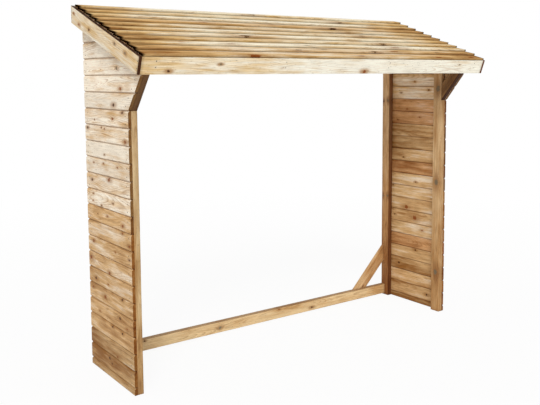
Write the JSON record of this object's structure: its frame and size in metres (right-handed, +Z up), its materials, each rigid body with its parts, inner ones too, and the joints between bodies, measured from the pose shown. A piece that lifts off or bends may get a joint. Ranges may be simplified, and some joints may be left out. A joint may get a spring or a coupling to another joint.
{
  "type": "log store",
  "caption": "Open-fronted timber store for firewood with boarded sides, an open back with rail and braces, and a slatted roof that slopes to the front.",
  "frame": {"origin": "middle of the footprint of the whole store, on the ground", "axes": "+Z up, +Y from the open front to the back, +X to the right seen from the front"},
  "size_m": [2.43, 0.818, 2.0018],
  "materials": {
    "cladding_boards": "planed pressure-treated softwood boards",
    "planed_timber": "planed pressure-treated softwood",
    "edge_boards": "pale planed softwood",
    "roof_boards": "sawn softwood boards"
  },
  "bodies": {
    "root": {"front_fascia": "edge_boards", "front_top_rail": "planed_timber", "left_barge_board": "edge_boards", "left_flare_batten": "planed_timber", "left_front_post": "planed_timber", "left_rear_brace": "planed_timber", "left_rear_post": "planed_timber", "left_side_cladding": "cladding_boards", "rafter_1": "planed_timber", "rafter_2": "planed_timber", "rafter_3": "planed_timber", "rafter_4": "planed_timber", "rear_bottom_rail": "planed_timber", "rear_top_rail": "planed_timber", "right_barge_board": "edge_boards", "right_flare_batten": "planed_timber", "right_front_post": "planed_timber", "right_rear_brace": "planed_timber", "right_rear_post": "planed_timber", "right_side_cladding": "cladding_boards", "roof_rear_board": "edge_boards", "roof_slat_1": "roof_boards", "roof_slat_10": "roof_boards", "roof_slat_11": "roof_boards", "roof_slat_2": "roof_boards", "roof_slat_3": "roof_boards", "roof_slat_4": "roof_boards", "roof_slat_5": "roof_boards", "roof_slat_6": "roof_boards", "roof_slat_7": "roof_boards", "roof_slat_8": "roof_boards", "roof_slat_9": "roof_boards"}
  },
  "joints": []
}
